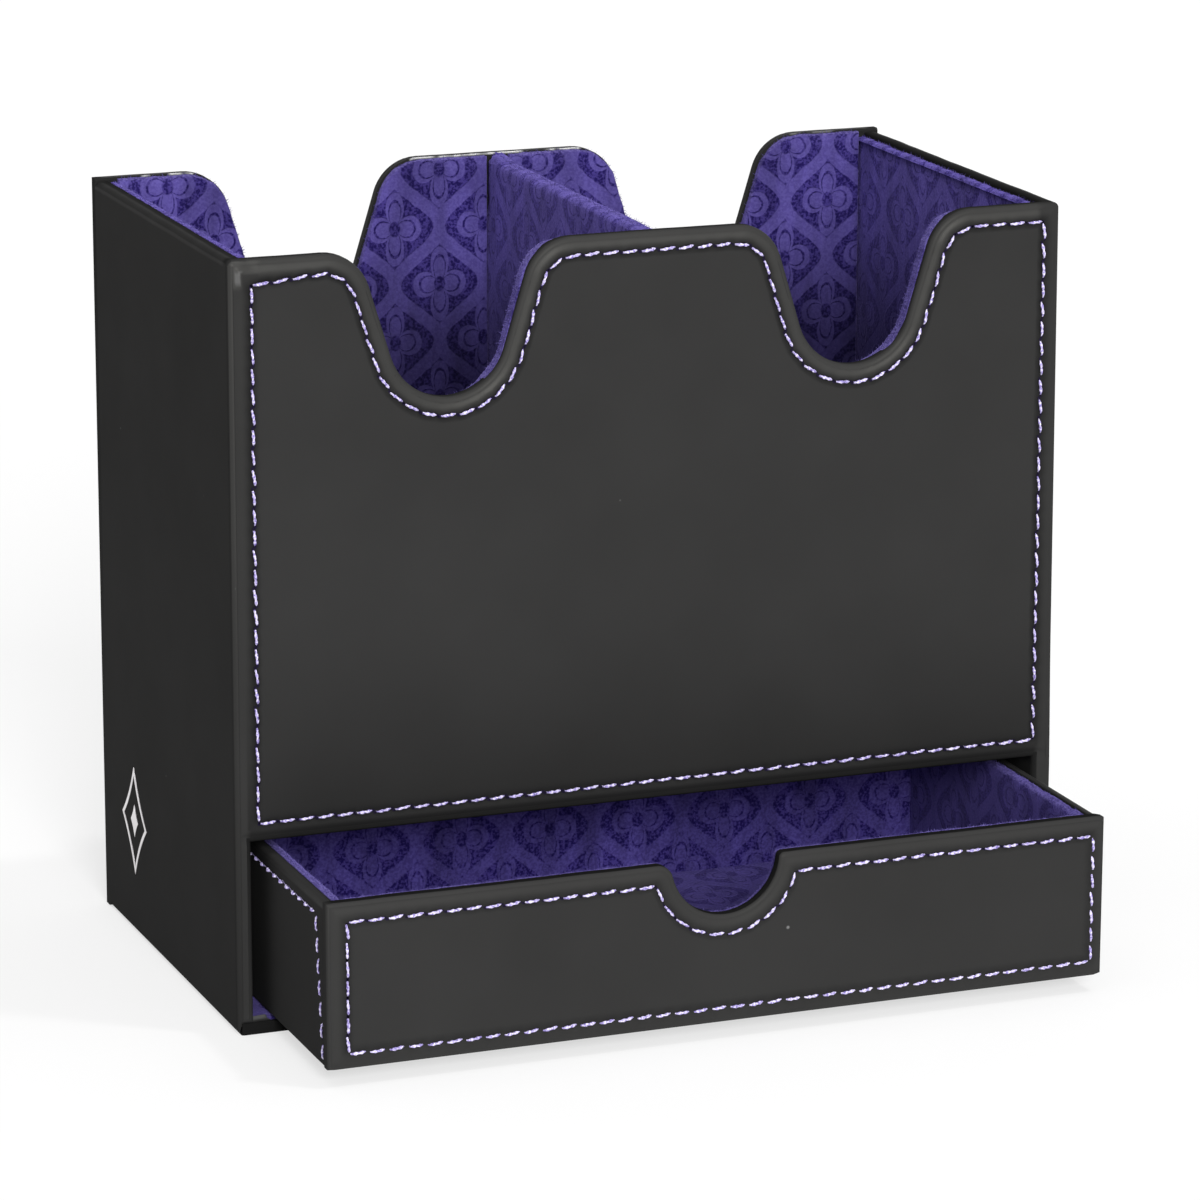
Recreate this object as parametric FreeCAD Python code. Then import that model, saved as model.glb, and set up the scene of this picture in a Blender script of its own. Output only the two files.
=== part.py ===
import FreeCAD, Part

# An open-topped box for two decks of cards, over a pull-out drawer. Its greyboard
# panels are wrapped in leatherette, lined with flocked fabric and sewn round the front.
# Millimetres. The origin is the middle of the housing's footprint, on the surface that
# the box stands on: X to the right, Y to the back, Z up. The drawer opens towards -Y.

import math
import os

from FreeCAD import Vector

# Housing, outside
housing_width = 151.0
housing_depth = 80.5
wall_height = 134.0
back_rise = 0.6
base_inset = 0.3

# Thickness of each sheet
leatherette = 0.5
wall_board = 1.8
base_board_thickness = 1.2
shelf_board = 1.5
divider_board_thickness = 1.6
lining = 1.2
bay_lining = 0.7
bay_facing = 0.4

# How far each sheet is turned in, set back or rounded
top_turn_in = 12.0
notch_turn_in = 4.0
bay_turn_in = 10.0
base_turn_in = 8.0
lining_setback = 1.0
divider_drop = 1.0
bay_lining_setback = 1.0
edge_round = 1.0
base_edge_round = 0.5
lining_round = 0.5

# Finger notches in the front and back walls
notch_spacing = 74.0
notch_depth = 25.8
notch_bottom_radius = 10.5
notch_shoulder_radius = 8.5
notch_lean = 17.0

# Drawer
drawer_open = 30.6
drawer_travel_left = 30.0
drawer_set_right = 1.2
drawer_front_height = 28.9
drawer_side_gap = 1.65
drawer_top_gap = 2.1
drawer_floor_gap = 0.3
drawer_back_gap = 1.4
drawer_front_overhang = 0.5
drawer_side_drop = 0.5
drawer_front_board_thickness = 1.4
drawer_card = 0.8
drawer_base_board_thickness = 1.2
drawer_turn_in = 5.0
drawer_lining_setback = 0.4
drawer_round = 0.8

# Round notch in the drawer's front
pull_radius = 9.8
pull_left_shoulder = 3.0
pull_right_shoulder = 1.0

# Stitches
thread_radius = 0.3
stitch_length = 2.7
stitch_pitch = 3.4
stitch_slant = 6.0
front_margin_left = 4.0
front_margin_right = 3.0
front_margin_top = 3.1
front_margin_bottom = 3.3
front_corner_drop = 1.2
drawer_margin_left = 3.6
drawer_margin_right = 2.6
drawer_margin_top = 3.4
drawer_margin_bottom = 2.7
side_row_drop = 3.0
side_row_top_back = 4.8
side_row_bottom_back = 1.6
side_row_end = 2.0

# Foil mark on the left side
mark_height = 20.0
mark_width = 15.0
mark_line = 0.9
mark_hollow = 1.6
mark_core_height = 6.0
mark_core_width = 4.4
mark_thickness = 0.1
mark_from_front = 60.4
mark_above_floor = 21.2

# Places worked out from the sizes above
wall = wall_board + 2 * leatherette
x_out = housing_width / 2
x_in = x_out - wall
x_board_in = x_in + leatherette
y_front = -housing_depth / 2
y_back = housing_depth / 2
y_deck_front = y_front + wall
y_deck_back = y_back - wall
base_top = base_board_thickness + 2 * leatherette
bay_floor = base_top + bay_lining
drawer_bottom = bay_floor + drawer_floor_gap
drawer_top = drawer_bottom + drawer_front_height
bay_roof = drawer_top + drawer_top_gap
shelf_bottom = bay_roof + leatherette
shelf_top = shelf_bottom + shelf_board
back_height = wall_height + back_rise
notch_floor = wall_height - notch_depth
divider_face = divider_board_thickness / 2 + lining
deck_side_face = x_in - lining

drawer_front_thickness = drawer_front_board_thickness + 2 * leatherette
drawer_wall = drawer_card + 2 * leatherette
drawer_half_front = x_in - drawer_side_gap
drawer_x_out = drawer_half_front - drawer_front_overhang
drawer_x_in = drawer_x_out - drawer_wall
drawer_lined_x = drawer_x_in - lining
drawer_y_front = y_front + drawer_front_thickness
drawer_y_end = y_deck_back - drawer_back_gap
drawer_y_back = drawer_y_end - drawer_wall
drawer_side_top = drawer_top - drawer_side_drop
drawer_floor_board = drawer_bottom + leatherette
drawer_floor_lining = drawer_floor_board + drawer_base_board_thickness
drawer_place = Vector(drawer_set_right, -drawer_open, 0)
hair = 0.001


def box(x, y, z):
    """A block between the low and the high value on each axis."""
    corner = Vector(x[0], y[0], z[0])
    return Part.makeBox(x[1] - x[0], y[1] - y[0], z[1] - z[0], corner)


def wide(half):
    """The low and the high value of a width centred on the middle plane."""
    return (-half, half)


def mirrored(shape):
    """The same piece on the other side of the middle plane."""
    return shape.mirror(Vector(0, 0, 0), Vector(1, 0, 0))


def on_circle(centre, radius, degrees):
    """A point of a circle in the XZ plane, by its angle from +X towards +Z."""
    angle = math.radians(degrees)
    return centre + Vector(radius * math.cos(angle), 0, radius * math.sin(angle))


def line(start, end):
    return Part.LineSegment(start, end).toShape()


def arc(centre, radius, first, last):
    points = [on_circle(centre, radius, angle) for angle in (first, (first + last) / 2, last)]
    return Part.Arc(*points).toShape()


def start_of(edge):
    return edge.valueAt(edge.FirstParameter)


def end_of(edge):
    return edge.valueAt(edge.LastParameter)


def finger_notch(centre_x, top, inset):
    """A wall's notch from right to left, moved into the wall by inset.

    A round bottom and two leaning flanks end in two round shoulders.
    """
    lean = math.radians(notch_lean)
    bottom_radius = notch_bottom_radius + inset
    shoulder_radius = max(notch_shoulder_radius - inset, hair)
    bottom = Vector(centre_x, 0, notch_floor + notch_bottom_radius)
    shoulder_z = top - inset - shoulder_radius
    rise = (shoulder_z - bottom.z) * math.sin(lean)
    reach = (bottom_radius + shoulder_radius + rise) / math.cos(lean)
    right = Vector(centre_x + reach, 0, shoulder_z)
    left = Vector(centre_x - reach, 0, shoulder_z)
    right_shoulder = arc(right, shoulder_radius, 90, 180 - notch_lean)
    round_bottom = arc(bottom, bottom_radius, -notch_lean, -180 + notch_lean)
    left_shoulder = arc(left, shoulder_radius, notch_lean, 90)
    return [
        right_shoulder,
        line(end_of(right_shoulder), start_of(round_bottom)),
        round_bottom,
        line(end_of(round_bottom), start_of(left_shoulder)),
        left_shoulder,
    ]


def wall_notches(top, inset):
    """Both notches of a wall, the right one first."""
    centres = (notch_spacing / 2, -notch_spacing / 2)
    return [finger_notch(centre, top, inset) for centre in centres]


def pull_notch(inset):
    """The notch of the drawer's front from right to left, moved in by inset."""
    centre = Vector(0, 0, drawer_top)
    radius = pull_radius + inset
    shoulders = []
    for side, size in ((1, pull_right_shoulder), (-1, pull_left_shoulder)):
        shoulder = max(size - inset, hair)
        drop = inset + shoulder
        reach = math.sqrt((radius + shoulder) ** 2 - drop ** 2)
        tilt = math.degrees(math.atan2(drop, reach))
        place = Vector(side * reach, 0, drawer_top - drop)
        shoulders.append((place, shoulder, tilt))
    (right, right_size, right_tilt), (left, left_size, left_tilt) = shoulders
    return [
        arc(right, right_size, 90, 180 - right_tilt),
        arc(centre, radius, -right_tilt, -180 + left_tilt),
        arc(left, left_size, left_tilt, 90),
    ]


def panel(x, y, z, notches):
    """An upright panel, with its notches cut down from its top edge."""
    low_left = Vector(x[0], 0, z[0])
    low_right = Vector(x[1], 0, z[0])
    high_left = Vector(x[0], 0, z[1])
    high_right = Vector(x[1], 0, z[1])
    edges = [line(low_left, low_right), line(low_right, high_right)]
    here = high_right
    for notch in notches:
        edges.append(line(here, start_of(notch[0])))
        edges.extend(notch)
        here = end_of(notch[-1])
    edges.append(line(here, high_left))
    edges.append(line(high_left, low_left))
    face = Part.Face(Part.Wire(edges))
    face.translate(Vector(0, y[0], 0))
    return face.extrude(Vector(0, y[1] - y[0], 0))


def rounded(solid, radius, chosen):
    """The solid with every edge that chosen() accepts rounded."""
    edges = [edge for edge in solid.Edges if chosen(edge.BoundBox)]
    return solid.makeFillet(radius, edges)


def near(a, b):
    return abs(a - b) < hair


# Housing boards
boards = {
    "front_board": panel(
        wide(x_board_in),
        (y_front + leatherette, y_deck_front - leatherette),
        (shelf_bottom, wall_height - leatherette),
        wall_notches(wall_height, leatherette),
    ),
    "back_board": panel(
        wide(x_out - leatherette),
        (y_deck_back + leatherette, y_back - leatherette),
        (base_top + leatherette, back_height - leatherette),
        wall_notches(back_height, leatherette),
    ),
    "left_side_board": box(
        (-x_out + leatherette, -x_board_in),
        (y_front + leatherette, y_deck_back),
        (base_top + leatherette, wall_height - leatherette),
    ),
    "base_board": box(
        wide(x_out - base_inset - leatherette),
        (y_front + base_inset + leatherette, y_back - base_inset - leatherette),
        (leatherette, base_top - leatherette),
    ),
    "deck_floor_board": box(
        wide(x_board_in),
        (y_deck_front - leatherette, y_deck_back),
        (shelf_bottom, shelf_top),
    ),
    "divider_board": box(
        wide(divider_board_thickness / 2),
        (y_deck_front, y_deck_back),
        (shelf_top, wall_height - divider_drop - lining),
    ),
}
boards["right_side_board"] = mirrored(boards["left_side_board"])


def make_outer_wrap():
    """One sheet round the left side, the front and the right side, turned in all round."""
    front = panel(
        wide(x_out),
        (y_front, y_deck_front),
        (bay_roof, wall_height),
        wall_notches(wall_height, 0),
    )
    side = box((-x_out, -x_in), (y_front, y_deck_back), (base_top, wall_height))
    roof_return = box(
        wide(x_in), (y_front + wall / 2, y_front + bay_turn_in), (bay_roof, shelf_bottom)
    )
    sheet = front.fuse([side, mirrored(side), roof_return]).removeSplitter()

    def outer_edge(bounds):
        on_front = near(bounds.YMin, y_front) and near(bounds.YMax, y_front)
        on_side = near(abs(bounds.XMin), x_out) and near(abs(bounds.XMax), x_out)
        on_top = near(bounds.ZMin, wall_height) and near(bounds.ZMax, wall_height)
        on_foot = near(bounds.ZMin, base_top) and near(bounds.ZMax, base_top)
        return on_front or (on_side and (on_top or on_foot))

    sheet = rounded(sheet, min(edge_round, wall * 0.4), outer_edge)
    inner_face = (-x_board_in, -x_in)
    deck_window = box(
        inner_face,
        (y_deck_front - leatherette, y_deck_back),
        (shelf_bottom, wall_height - top_turn_in),
    )
    bay_window = box(
        inner_face, (y_front + bay_turn_in, y_deck_back), (base_top + leatherette, shelf_bottom)
    )
    front_window = box(
        wide(x_in),
        (y_deck_front - leatherette, y_deck_front),
        (shelf_bottom, notch_floor - notch_turn_in),
    )
    cuts = [boards[name] for name in ("front_board", "left_side_board", "right_side_board")]
    cuts += [front_window, deck_window, mirrored(deck_window), bay_window, mirrored(bay_window)]
    return sheet.cut(cuts)


def make_back_cover():
    """The back panel's own sheet, turned in over all its edges."""
    sheet = panel(
        wide(x_out),
        (y_deck_back, y_back),
        (base_top, back_height),
        wall_notches(back_height, 0),
    )

    def outer_edge(bounds):
        return near(bounds.YMin, y_back) and near(bounds.YMax, y_back)

    sheet = rounded(sheet, min(edge_round, wall * 0.4), outer_edge)
    window = box(
        wide(x_in - top_turn_in),
        (y_deck_back, y_deck_back + leatherette),
        (base_top + top_turn_in, notch_floor - notch_turn_in),
    )
    return sheet.cut([boards["back_board"], window])


def make_base_cover():
    """The base's sheet, turned up round the board and over its top edges."""
    sheet = box(
        wide(x_out - base_inset), (y_front + base_inset, y_back - base_inset), (0, base_top)
    )

    def upright(bounds):
        return bounds.ZLength > base_top / 2

    def foot_edge(bounds):
        return near(bounds.ZMax, 0)

    sheet = rounded(sheet, edge_round, upright)
    sheet = rounded(sheet, min(base_edge_round, base_top * 0.4), foot_edge)
    edge = base_inset + base_turn_in
    window = box(
        wide(x_out - edge), (y_front + edge, y_back - edge), (base_top - leatherette, base_top)
    )
    return sheet.cut([boards["base_board"], window])


def make_divider_lining():
    """One strip of lining folded over the divider."""
    strip = box(
        wide(divider_face), (y_deck_front, y_deck_back), (shelf_top, wall_height - divider_drop)
    )

    def fold(bounds):
        return near(bounds.ZMin, wall_height - divider_drop) and bounds.XLength < hair

    strip = rounded(strip, min(lining, divider_face * 0.8), fold)
    return strip.cut(boards["divider_board"])


def make_deck_linings():
    """The linings of the right deck: front, back, outer side and floor."""
    centre = notch_spacing / 2
    x = (divider_face, deck_side_face)
    front = panel(
        x,
        (y_deck_front, y_deck_front + lining),
        (shelf_top, wall_height - lining_setback),
        [finger_notch(centre, wall_height, lining_setback)],
    )
    back = panel(
        x,
        (y_deck_back - lining, y_deck_back),
        (shelf_top, back_height - lining_setback),
        [finger_notch(centre, back_height, lining_setback)],
    )
    side = box(
        (deck_side_face, x_in),
        (y_deck_front, y_deck_back),
        (shelf_top, wall_height - lining_setback),
    )
    floor = box(
        x, (y_deck_front + lining, y_deck_back - lining), (shelf_top, shelf_top + lining)
    )

    def soft_edge(bounds):
        return near(bounds.XMin, deck_side_face) and near(bounds.ZMin, wall_height - lining_setback)

    side = rounded(side, min(lining_round, lining * 0.4), soft_edge)
    return {"front": front, "back": back, "side": side, "floor": floor}


def make_bay_linings():
    """What lines the drawer's bay: the flocked floor strip and the thin facings."""
    behind_turn_in = (y_front + bay_turn_in, y_deck_back)
    side = box(
        (-x_board_in, -x_board_in + bay_facing),
        behind_turn_in,
        (base_top + leatherette, shelf_bottom),
    )
    return {
        "bay_floor_lining": box(
            wide(x_in), (y_front + bay_lining_setback, y_deck_back), (base_top, bay_floor)
        ),
        "bay_left_facing": side,
        "bay_right_facing": mirrored(side),
        "bay_back_facing": box(
            wide(x_in - top_turn_in),
            (y_deck_back + leatherette - bay_facing, y_deck_back + leatherette),
            (base_top + top_turn_in, shelf_bottom),
        ),
        "bay_roof_facing": box(
            wide(x_board_in - bay_facing), behind_turn_in, (shelf_bottom - bay_facing, shelf_bottom)
        ),
    }


# Drawer, built shut and moved to its place when it is written
drawer_boards = {
    "drawer_front_board": panel(
        wide(drawer_half_front - leatherette),
        (y_front + leatherette, drawer_y_front - leatherette),
        (drawer_bottom + leatherette, drawer_top - leatherette),
        [pull_notch(leatherette)],
    ),
    "drawer_left_board": box(
        (-drawer_x_out + leatherette, -drawer_x_in - leatherette),
        (drawer_y_front, drawer_y_end - leatherette),
        (drawer_bottom + leatherette, drawer_side_top - leatherette),
    ),
    "drawer_back_board": box(
        wide(drawer_x_in + leatherette),
        (drawer_y_back + leatherette, drawer_y_end - leatherette),
        (drawer_bottom + leatherette, drawer_side_top - leatherette),
    ),
    "drawer_base_board": box(
        wide(drawer_x_in), (drawer_y_front, drawer_y_back), (drawer_floor_board, drawer_floor_lining)
    ),
}
drawer_boards["drawer_right_board"] = mirrored(drawer_boards["drawer_left_board"])


def make_drawer_front_cover():
    """The sheet of the drawer's front, turned in over all its edges."""
    sheet = panel(
        wide(drawer_half_front),
        (y_front, drawer_y_front),
        (drawer_bottom, drawer_top),
        [pull_notch(0)],
    )

    def outer_edge(bounds):
        return near(bounds.YMin, y_front) and near(bounds.YMax, y_front)

    sheet = rounded(sheet, min(drawer_round, drawer_front_thickness * 0.4), outer_edge)
    window = box(
        wide(drawer_x_in - drawer_turn_in),
        (drawer_y_front - leatherette, drawer_y_front),
        (drawer_bottom + drawer_turn_in, drawer_top - pull_radius - notch_turn_in),
    )
    return sheet.cut([drawer_boards["drawer_front_board"], window])


def make_drawer_wrap():
    """One sheet round the drawer's left side, back and right side."""
    height = (drawer_bottom, drawer_side_top)
    side = box((-drawer_x_out, -drawer_x_in), (drawer_y_front, drawer_y_end), height)
    back = box(wide(drawer_x_in), (drawer_y_back, drawer_y_end), height)
    sheet = back.fuse([side, mirrored(side)]).removeSplitter()

    def outer_edge(bounds):
        on_side = near(abs(bounds.XMin), drawer_x_out) and near(abs(bounds.XMax), drawer_x_out)
        on_back = near(bounds.YMin, drawer_y_end) and near(bounds.YMax, drawer_y_end)
        on_top = near(bounds.ZMin, drawer_side_top)
        return (on_side and (on_top or on_back)) or (on_back and on_top)

    sheet = rounded(sheet, min(drawer_round, drawer_wall * 0.4), outer_edge)
    below_turn_in = (drawer_floor_board, drawer_side_top - drawer_turn_in)
    side_window = box(
        (-drawer_x_in - leatherette, -drawer_x_in), (drawer_y_front, drawer_y_back), below_turn_in
    )
    back_window = box(
        wide(drawer_x_in), (drawer_y_back, drawer_y_back + leatherette), below_turn_in
    )
    names = ("drawer_left_board", "drawer_right_board", "drawer_back_board")
    cuts = [drawer_boards[name] for name in names]
    return sheet.cut(cuts + [side_window, mirrored(side_window), back_window])


def make_drawer_linings():
    """The drawer's base sheet and its five linings."""
    inside_x = wide(drawer_x_in)
    inside_y = (drawer_y_front, drawer_y_back)
    lined_x = wide(drawer_lined_x)
    lining_bottom = drawer_floor_lining
    lining_top = drawer_side_top - drawer_lining_setback
    side = box((-drawer_x_in, -drawer_lined_x), inside_y, (lining_bottom, lining_top))
    front_setback = drawer_side_drop + drawer_lining_setback
    return {
        "drawer_base_cover": box(inside_x, inside_y, (drawer_bottom, drawer_floor_board)),
        "drawer_front_lining": panel(
            lined_x,
            (drawer_y_front, drawer_y_front + lining),
            (lining_bottom, drawer_top - front_setback),
            [pull_notch(front_setback)],
        ),
        "drawer_back_lining": box(
            lined_x, (drawer_y_back - lining, drawer_y_back), (lining_bottom, lining_top)
        ),
        "drawer_left_lining": side,
        "drawer_right_lining": mirrored(side),
        "drawer_floor_lining": box(
            lined_x,
            (drawer_y_front + lining, drawer_y_back - lining),
            (lining_bottom, lining_bottom + lining),
        ),
    }


def make_stitch():
    """One stitch along +X: half of a round-ended thread, its flat side on the plane y = 0."""
    half = stitch_length / 2
    straight = half - thread_radius
    left = Vector(-straight, 0, 0)
    right = Vector(straight, 0, 0)
    outline = [
        arc(left, thread_radius, 180, 90),
        line(Vector(-straight, 0, thread_radius), Vector(straight, 0, thread_radius)),
        arc(right, thread_radius, 90, 0),
        line(Vector(half, 0, 0), Vector(-half, 0, 0)),
    ]
    face = Part.Face(Part.Wire(outline))
    return face.revolve(Vector(0, 0, 0), Vector(1, 0, 0), 180)


stitch = make_stitch()


def sew(runs, y):
    """Stitches spread evenly along each run of edges, standing out of the plane y."""
    stitches = []
    for run in runs:
        thread = Part.Wire(run)
        count = max(1, round(thread.Length / stitch_pitch))
        points = thread.discretize(Number=count + 1)
        for start, end in zip(points, points[1:]):
            along = end - start
            angle = math.degrees(math.atan2(along.z, along.x)) + stitch_slant
            one = stitch.copy()
            one.rotate(Vector(0, 0, 0), Vector(0, -1, 0), angle)
            one.translate((start + end) / 2 + Vector(0, y, 0))
            stitches.append(one)
    return Part.makeCompound(stitches)


def make_front_stitching():
    """The stitch line round the front panel, which follows both notches."""
    right = x_out - front_margin_right
    left = -x_out + front_margin_left
    bottom = bay_roof + front_margin_bottom
    top = wall_height - front_margin_top
    low_left = Vector(left, 0, bottom)
    low_right = Vector(right, 0, bottom)
    high_left = Vector(left, 0, top - front_corner_drop)
    over = []
    here = Vector(right, 0, top)
    for notch in wall_notches(wall_height, front_margin_top):
        over.append(line(here, start_of(notch[0])))
        over.extend(notch)
        here = end_of(notch[-1])
    over.append(line(here, high_left))
    runs = [
        [line(low_left, low_right)],
        [line(low_right, Vector(right, 0, top))],
        over,
        [line(high_left, low_left)],
    ]
    return sew(runs, y_front)


def make_drawer_front_stitching():
    """The stitch line round the drawer's front, with a square turn each side of its notch."""
    right = drawer_half_front - drawer_margin_right
    left = -drawer_half_front + drawer_margin_left
    bottom = drawer_bottom + drawer_margin_bottom
    top = drawer_top - drawer_margin_top
    radius = pull_radius + drawer_margin_top
    dip = math.degrees(math.asin(drawer_margin_top / radius))
    notch = arc(Vector(0, 0, drawer_top), radius, -dip, -180 + dip)
    low_left = Vector(left, 0, bottom)
    low_right = Vector(right, 0, bottom)
    high_left = Vector(left, 0, top)
    high_right = Vector(right, 0, top)
    runs = [
        [line(low_left, low_right)],
        [line(low_right, high_right)],
        [line(high_right, start_of(notch))],
        [notch],
        [line(end_of(notch), high_left)],
        [line(high_left, low_left)],
    ]
    return sew(runs, y_front)


def make_drawer_side_stitching():
    """Two rows on the drawer's left side: under its top edge, and down behind the front."""
    row = drawer_side_top - side_row_drop
    length = drawer_y_end - side_row_end - drawer_y_front
    corner = Vector(side_row_top_back, 0, row)
    foot = Vector(side_row_bottom_back, 0, drawer_bottom + thread_radius)
    flat = sew([[line(Vector(length, 0, row), corner)], [line(corner, foot)]], 0)
    flat.rotate(Vector(0, 0, 0), Vector(0, 0, 1), 90)
    flat = mirrored(flat)
    flat.translate(Vector(-drawer_x_out, drawer_y_front, 0))
    return flat


def diamond(half_width, half_height):
    """A diamond face with hollow sides, round the origin of the YZ plane."""
    tips = [
        Vector(0, half_width, 0),
        Vector(0, 0, half_height),
        Vector(0, -half_width, 0),
        Vector(0, 0, -half_height),
    ]
    hollow = 1 - mark_hollow / mark_width
    sides = []
    for start, end in zip(tips, tips[1:] + tips[:1]):
        middle = (start + end) * 0.5 * hollow
        sides.append(Part.Arc(start, middle, end).toShape())
    return Part.Face(Part.Wire(sides))


def make_foil_mark():
    """A plain diamond outline with a small diamond in it, pressed on the left side."""
    outer = diamond(mark_width / 2, mark_height / 2)
    narrow = mark_line * math.hypot(mark_width, mark_height) / mark_height
    tall = mark_line * math.hypot(mark_width, mark_height) / mark_width
    inner = diamond(mark_width / 2 - narrow, mark_height / 2 - tall)
    core = diamond(mark_core_width / 2, mark_core_height / 2)
    place = Vector(-x_out, y_front + mark_from_front, mark_above_floor)
    solids = []
    for face in (outer.cut(inner).Faces[0], core):
        face.translate(place)
        solids.append(face.extrude(Vector(-mark_thickness, 0, 0)))
    return Part.makeCompound(solids)


housing = dict(boards)
housing["outer_wrap"] = make_outer_wrap()
housing["back_cover"] = make_back_cover()
housing["base_cover"] = make_base_cover()
housing["divider_lining"] = make_divider_lining()
for position, shape in make_deck_linings().items():
    housing["right_deck_" + position + "_lining"] = shape
    housing["left_deck_" + position + "_lining"] = mirrored(shape)
housing.update(make_bay_linings())
housing["front_stitching"] = make_front_stitching()
housing["foil_mark"] = make_foil_mark()

drawer = dict(drawer_boards)
drawer["drawer_front_cover"] = make_drawer_front_cover()
drawer["drawer_wrap"] = make_drawer_wrap()
drawer.update(make_drawer_linings())
drawer["drawer_front_stitching"] = make_drawer_front_stitching()
drawer["drawer_left_stitching"] = make_drawer_side_stitching()
drawer["drawer_right_stitching"] = mirrored(drawer["drawer_left_stitching"])
for shape in drawer.values():
    shape.translate(drawer_place)

os.makedirs("parts", exist_ok=True)
for node, shape in {**housing, **drawer}.items():
    shape.exportStep("parts/" + node + ".step")
    print(node, len(shape.Solids), "solids", round(shape.Volume, 1), "mm3", shape.isValid())
print("drawer slide", -drawer_open, "to", drawer_travel_left)
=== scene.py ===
"""The looks of a double deck box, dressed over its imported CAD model."""
import math
import random

import bmesh
import bpy
import numpy as np
from mathutils import Matrix, Vector, noise


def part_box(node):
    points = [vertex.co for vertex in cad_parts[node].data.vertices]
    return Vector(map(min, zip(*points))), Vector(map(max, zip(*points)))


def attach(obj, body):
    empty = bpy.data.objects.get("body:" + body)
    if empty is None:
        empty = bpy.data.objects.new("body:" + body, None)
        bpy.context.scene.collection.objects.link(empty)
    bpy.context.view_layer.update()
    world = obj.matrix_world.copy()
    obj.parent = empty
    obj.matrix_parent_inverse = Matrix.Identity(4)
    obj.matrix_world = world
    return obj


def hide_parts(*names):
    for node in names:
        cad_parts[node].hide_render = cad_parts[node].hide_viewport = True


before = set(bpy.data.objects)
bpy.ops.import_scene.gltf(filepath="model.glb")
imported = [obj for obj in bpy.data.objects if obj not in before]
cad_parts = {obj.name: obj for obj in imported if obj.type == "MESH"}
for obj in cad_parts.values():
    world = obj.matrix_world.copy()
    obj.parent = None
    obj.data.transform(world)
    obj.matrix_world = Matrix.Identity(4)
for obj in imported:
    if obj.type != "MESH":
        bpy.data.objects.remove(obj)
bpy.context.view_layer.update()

# Camera: it stands a metre away with a long lens, a little to the left of the box and
# above it, as for a catalogue picture.
MM = 0.001
aim = Vector((-3.7, 2.8, 67.0)) * MM
turn = math.radians(-21.30)
rise = math.radians(14.65)
roll = math.radians(0.152)
camera_distance = 979.3 * MM
aim_right = 9.79 * MM
aim_down = 7.12 * MM
away = Vector((math.sin(turn) * math.cos(rise), -math.cos(turn) * math.cos(rise), math.sin(rise)))
level = (-away).cross(Vector((0, 0, 1))).normalized()
upright = level.cross(-away)
to_right = level * math.cos(roll) + upright * math.sin(roll)
to_top = upright * math.cos(roll) - level * math.sin(roll)
camera_data = bpy.data.cameras.new("camera")
camera_data.sensor_width = 36
camera_data.lens = 164.74
camera_data.clip_end = 20
camera = bpy.data.objects.new("camera", camera_data)
bpy.context.scene.collection.objects.link(camera)
camera.matrix_world = Matrix.Translation(
    aim + to_right * aim_right - to_top * aim_down + away * camera_distance
) @ Matrix((to_right, to_top, away)).transposed().to_4x4()
bpy.context.scene.camera = camera


# Greyboard: the stiff panels inside every wall, floor and divider. Pressed grey pulp,
# cut to size and glued under the covering, with darker and paler fibres in it.
def add(tree, kind, links=None, **settings):
    """A new node with its settings, and its sockets linked or given a value."""
    made = tree.nodes.new(kind)
    for key, value in settings.items():
        setattr(made, key, value)
    for key, value in (links or {}).items():
        if isinstance(value, bpy.types.NodeSocket):
            tree.links.new(value, made.inputs[key])
        else:
            made.inputs[key].default_value = value
    return made


def new_finish(name, **values):
    """A material, its node tree and its shader, with plain values on the shader."""
    material = bpy.data.materials.new(name)
    material.use_nodes = True
    tree = material.node_tree
    shader = tree.nodes["Principled BSDF"]
    for key, value in values.items():
        shader.inputs[key.replace("_", " ")].default_value = value
    return material, tree, shader


def wearing(piece, material):
    """Give a piece one material."""
    piece.data.materials.clear()
    piece.data.materials.append(material)
    return piece


def mottled(tree, colours, scale, detail=2):
    """The colour and the height of a fine mottle, from colours at places from 0 to 1."""
    place = add(tree, "ShaderNodeTexCoord").outputs["Object"]
    mottle = add(tree, "ShaderNodeTexNoise", {"Vector": place, "Scale": scale, "Detail": detail})
    ramp = add(tree, "ShaderNodeValToRGB", {"Fac": mottle.outputs["Fac"]})
    stops = ramp.color_ramp.elements
    first, *between, last = sorted(colours)
    stops[0].position = first
    stops[0].color = colours[first]
    stops[1].position = last
    stops[1].color = colours[last]
    for at in between:
        stops.new(at).color = colours[at]
    return ramp.outputs["Color"], mottle.outputs["Fac"]


def bumped(tree, shader, height, strength, depth):
    """Give a shader fine relief from a height, so many millimetres deep."""
    links = {"Height": height, "Strength": strength, "Distance": depth * MM}
    bump = add(tree, "ShaderNodeBump", links)
    tree.links.new(bump.outputs["Normal"], shader.inputs["Normal"])


pulp_dark = (0.12, 0.115, 0.1, 1)
pulp_pale = (0.3, 0.29, 0.26, 1)
greyboard, tree, shader = new_finish("greyboard", Roughness=0.9)
colour, pulp = mottled(tree, {0: pulp_dark, 1: pulp_pale}, scale=900, detail=4)
tree.links.new(colour, shader.inputs["Base Color"])
bumped(tree, shader, pulp, 0.4, 0.1)
for node_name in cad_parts:
    if node_name.endswith("_board"):
        wearing(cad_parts[node_name], greyboard)


# Leatherette: smooth black polyurethane on a cloth back, glued round the boards and
# turned in over every edge. Its grain is very fine, with faint scuffs and dust.
def worked_out(tree, operation, *values):
    """The result of one step of arithmetic."""
    return add(tree, "ShaderNodeMath", dict(enumerate(values)), operation=operation).outputs[0]


def ranged(tree, value, low, high, to_low=0, to_high=1, **settings):
    """A value carried over from one range to another."""
    links = {"Value": value, "From Min": low, "From Max": high, "To Min": to_low, "To Max": to_high}
    return add(tree, "ShaderNodeMapRange", links, **settings).outputs[0]


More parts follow.
